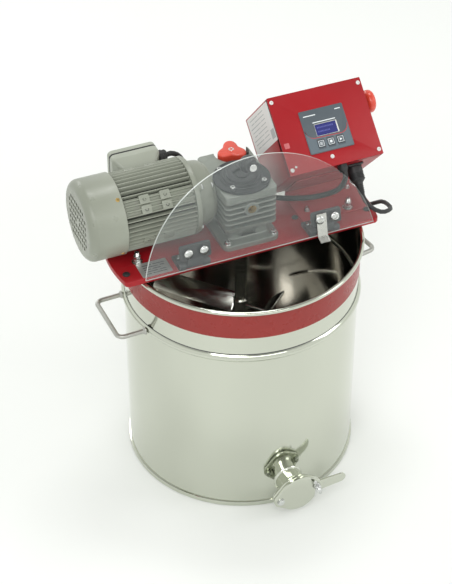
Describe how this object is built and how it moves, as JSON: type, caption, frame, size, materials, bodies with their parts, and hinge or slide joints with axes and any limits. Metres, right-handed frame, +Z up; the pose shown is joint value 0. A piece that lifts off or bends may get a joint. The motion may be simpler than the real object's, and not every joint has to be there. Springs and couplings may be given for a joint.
{
  "type": "honey creaming machine",
  "caption": "Steel honey drum with a motor-driven stirrer on a cross beam, clear hinged lid, honey gate and tilted control box.",
  "frame": {"origin": "centre of the drum's flat underside, on the floor", "axes": "+Z up; +X along the beam towards the control box; -Y is the front, where the honey gate points"},
  "size_m": [0.55, 0.6121, 0.646],
  "materials": {
    "polished_steel": "mirror-polished stainless sheet",
    "brushed_steel": "brushed stainless",
    "zinc_steel": "bright zinc plated",
    "red_paint": "satin powder coat",
    "red_vinyl": "satin vinyl band",
    "clear_acrylic": "clear acrylic with polished edge",
    "motor_grey": "pebble grey motor paint",
    "cast_aluminium": "grey painted casting",
    "dark_plastic": "glass-filled nylon",
    "black_rubber": "black rubber and PVC",
    "bronze": "machined bronze",
    "copper": "laminated core with copper windings",
    "overlay_grey": "printed polyester overlay",
    "signal_red": "moulded red plastic",
    "white_plastic": "white food-safe plastic and coated board"
  },
  "bodies": {
    "machine": {"drum_shell": "polished_steel", "drum_bottom": "polished_steel", "red_band": "red_vinyl", "handle_left": "brushed_steel", "handle_right": "brushed_steel", "gate_spout": "polished_steel", "gate_seal": "black_rubber", "gate_pivot_bolt": "zinc_steel", "gate_clamp_bolt": "zinc_steel", "beam": "red_paint", "beam_stud_left": "zinc_steel", "beam_stud_right": "zinc_steel", "rear_cover": "brushed_steel", "hinge_left_base": "dark_plastic", "hinge_right_base": "dark_plastic", "lid_switch": "black_rubber", "gearbox_foot": "cast_aluminium", "gearbox_housing": "cast_aluminium", "gearbox_cap": "dark_plastic", "output_bearing": "brushed_steel", "motor_frame": "motor_grey", "drive_end_shield": "motor_grey", "fan_end_shield": "motor_grey", "stator_core": "copper", "fan_cowl": "motor_grey", "terminal_box": "motor_grey", "terminal_cover": "motor_grey", "cable_gland": "black_rubber", "foot_bush": "white_plastic", "control_box": "red_paint", "control_panel": "red_paint", "keypad": "overlay_grey", "controller_board": "white_plastic", "box_bracket": "red_paint", "mains_inlet": "black_rubber", "cord_connector": "black_rubber", "mains_cord": "black_rubber", "cord_coil": "black_rubber", "mains_plug": "black_rubber", "motor_cable": "black_rubber"},
    "lid": {"front_lid": "clear_acrylic", "lid_knob": "dark_plastic", "hinge_left_leaf": "dark_plastic", "hinge_right_leaf": "dark_plastic", "lid_switch_tab": "brushed_steel"},
    "stirrer": {"stirrer_shaft": "polished_steel", "paddle_upper": "polished_steel", "paddle_middle": "polished_steel", "paddle_lower": "polished_steel", "worm_wheel": "bronze"},
    "drive": {"rotor": "brushed_steel", "cooling_fan": "dark_plastic", "worm": "zinc_steel"},
    "gate": {"gate_plate": "polished_steel"},
    "wing_nut": {"gate_wing_nut": "zinc_steel"},
    "stop_button": {"estop_button": "signal_red"},
    "program_key": {"key_program": "overlay_grey"},
    "stop_key": {"key_stop": "overlay_grey"},
    "start_key": {"key_start": "overlay_grey"},
    "knob": {"star_knob": "signal_red"}
  },
  "joints": [
    {"name": "lid_hinge", "type": "hinge", "parent": "machine", "child": "lid", "pos_m": [0.0035, -0.062, 0.4578], "axis": [1, 0, 0], "range_deg": [0, 104]},
    {"name": "motor_spin", "type": "hinge", "parent": "machine", "child": "drive", "pos_m": [-0.15, 0.038, 0.52], "axis": [1, 0, 0], "continuous": true},
    {"name": "stirrer_spin", "type": "hinge", "parent": "machine", "child": "stirrer", "pos_m": [0, 0, 0.31], "axis": [0, 0, 1], "continuous": true},
    {"name": "gate_swing", "type": "hinge", "parent": "machine", "child": "gate", "pos_m": [-0.02905, -0.23666, 0.043], "axis": [0.0209, -0.9998, 0], "range_deg": [0, 85]},
    {"name": "wing_nut_turn", "type": "hinge", "parent": "machine", "child": "wing_nut", "pos_m": [0.03907, -0.24153, 0.055], "axis": [0.0209, -0.9998, 0], "continuous": true},
    {"name": "stop_press", "type": "slide", "parent": "machine", "child": "stop_button", "axis": [-1, 0, 0], "range_m": [0, 0.006], "stiffness_N_per_m": 1200},
    {"name": "program_press", "type": "slide", "parent": "machine", "child": "program_key", "axis": [0, 0.6691, -0.7431], "range_m": [0, 0.0008], "stiffness_N_per_m": 900},
    {"name": "stop_key_press", "type": "slide", "parent": "machine", "child": "stop_key", "axis": [0, 0.6691, -0.7431], "range_m": [0, 0.0008], "stiffness_N_per_m": 900},
    {"name": "start_press", "type": "slide", "parent": "machine", "child": "start_key", "axis": [0, 0.6691, -0.7431], "range_m": [0, 0.0008], "stiffness_N_per_m": 900},
    {"name": "knob_turn", "type": "hinge", "parent": "machine", "child": "knob", "pos_m": [0.014, 0.076, 0.565], "axis": [0, 0, 1], "continuous": true}
  ],
  "couplings": [
    {"joint": "motor_spin", "follows": "stirrer_spin", "ratio": 30}
  ]
}
